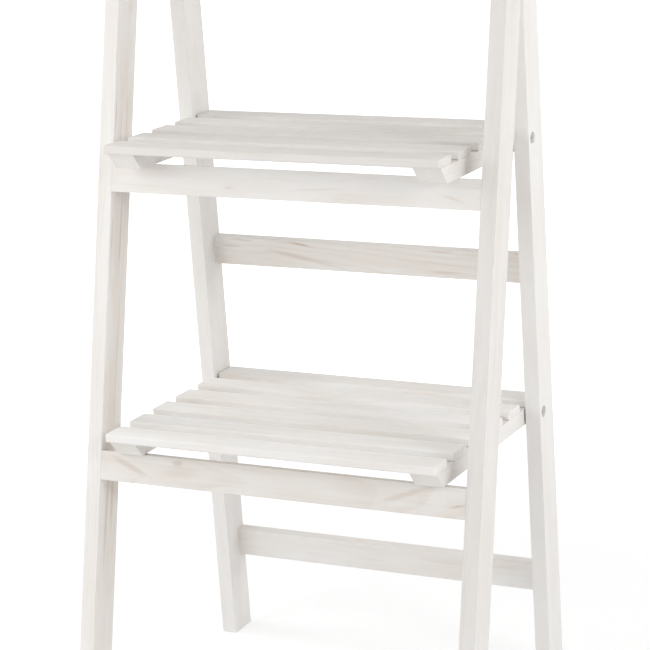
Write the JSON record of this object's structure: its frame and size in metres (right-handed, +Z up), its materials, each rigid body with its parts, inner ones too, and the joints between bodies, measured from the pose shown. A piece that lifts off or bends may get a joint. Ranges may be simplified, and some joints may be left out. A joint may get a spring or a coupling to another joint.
{
  "type": "plant ladder stand",
  "caption": "Folding wooden A-frame plant stand: slatted shelves turn on the rear legs and rest on the rails of the front ladder frame.",
  "frame": {"origin": "on the floor, under the middle of the open stand's footprint", "axes": "+X to the right, -Y to the front, +Z up; shelves level and legs open"},
  "size_m": [0.407, 0.2996, 1.0504],
  "materials": {
    "leg_wood": "whitewashed, matt",
    "rail_wood": "whitewashed, matt",
    "slat_wood": "whitewashed, matt",
    "cleat_wood": "whitewashed, matt",
    "dowel_wood": "bare",
    "screw_steel": "zinc plated",
    "bolt_steel": "zinc plated"
  },
  "bodies": {
    "rear_frame": {"rear_leg_left": "leg_wood", "rear_leg_right": "leg_wood", "lower_rear_rail": "rail_wood", "middle_rear_rail": "rail_wood", "upper_rear_rail": "rail_wood", "rear_dowels": "dowel_wood"},
    "front_frame": {"front_leg_left": "leg_wood", "front_leg_right": "leg_wood", "lower_front_rail": "rail_wood", "middle_front_rail": "rail_wood", "upper_front_rail": "rail_wood", "top_board": "rail_wood", "front_dowels": "dowel_wood", "pivot_bolts": "bolt_steel", "pivot_washers": "bolt_steel", "pivot_cap_nuts": "bolt_steel"},
    "lower_shelf": {"lower_cleat_left": "cleat_wood", "lower_cleat_right": "cleat_wood", "lower_slat_1": "slat_wood", "lower_slat_2": "slat_wood", "lower_slat_3": "slat_wood", "lower_slat_4": "slat_wood", "lower_slat_5": "slat_wood", "lower_slat_6": "slat_wood", "lower_slat_screws": "screw_steel", "lower_pivot_screws": "screw_steel"},
    "middle_shelf": {"middle_cleat_left": "cleat_wood", "middle_cleat_right": "cleat_wood", "middle_slat_1": "slat_wood", "middle_slat_2": "slat_wood", "middle_slat_3": "slat_wood", "middle_slat_4": "slat_wood", "middle_slat_5": "slat_wood", "middle_slat_screws": "screw_steel", "middle_pivot_screws": "screw_steel"},
    "upper_shelf": {"upper_cleat_left": "cleat_wood", "upper_cleat_right": "cleat_wood", "upper_slat_1": "slat_wood", "upper_slat_2": "slat_wood", "upper_slat_3": "slat_wood", "upper_slat_4": "slat_wood", "upper_slat_screws": "screw_steel", "upper_pivot_screws": "screw_steel"}
  },
  "joints": [
    {"name": "frame_fold", "type": "hinge", "parent": "rear_frame", "child": "front_frame", "pos_m": [0, 0.06858, 1.013], "axis": [1, 0, 0], "range_deg": [0, 10.5]},
    {"name": "lower_shelf_fold", "type": "hinge", "parent": "rear_frame", "child": "lower_shelf", "pos_m": [0, 0.10762, 0.273], "axis": [-1, 0, 0], "range_deg": [0, 86]},
    {"name": "middle_shelf_fold", "type": "hinge", "parent": "rear_frame", "child": "middle_shelf", "pos_m": [0, 0.09088, 0.539], "axis": [-1, 0, 0], "range_deg": [0, 86]},
    {"name": "upper_shelf_fold", "type": "hinge", "parent": "rear_frame", "child": "upper_shelf", "pos_m": [0, 0.07415, 0.805], "axis": [-1, 0, 0], "range_deg": [0, 86]}
  ]
}
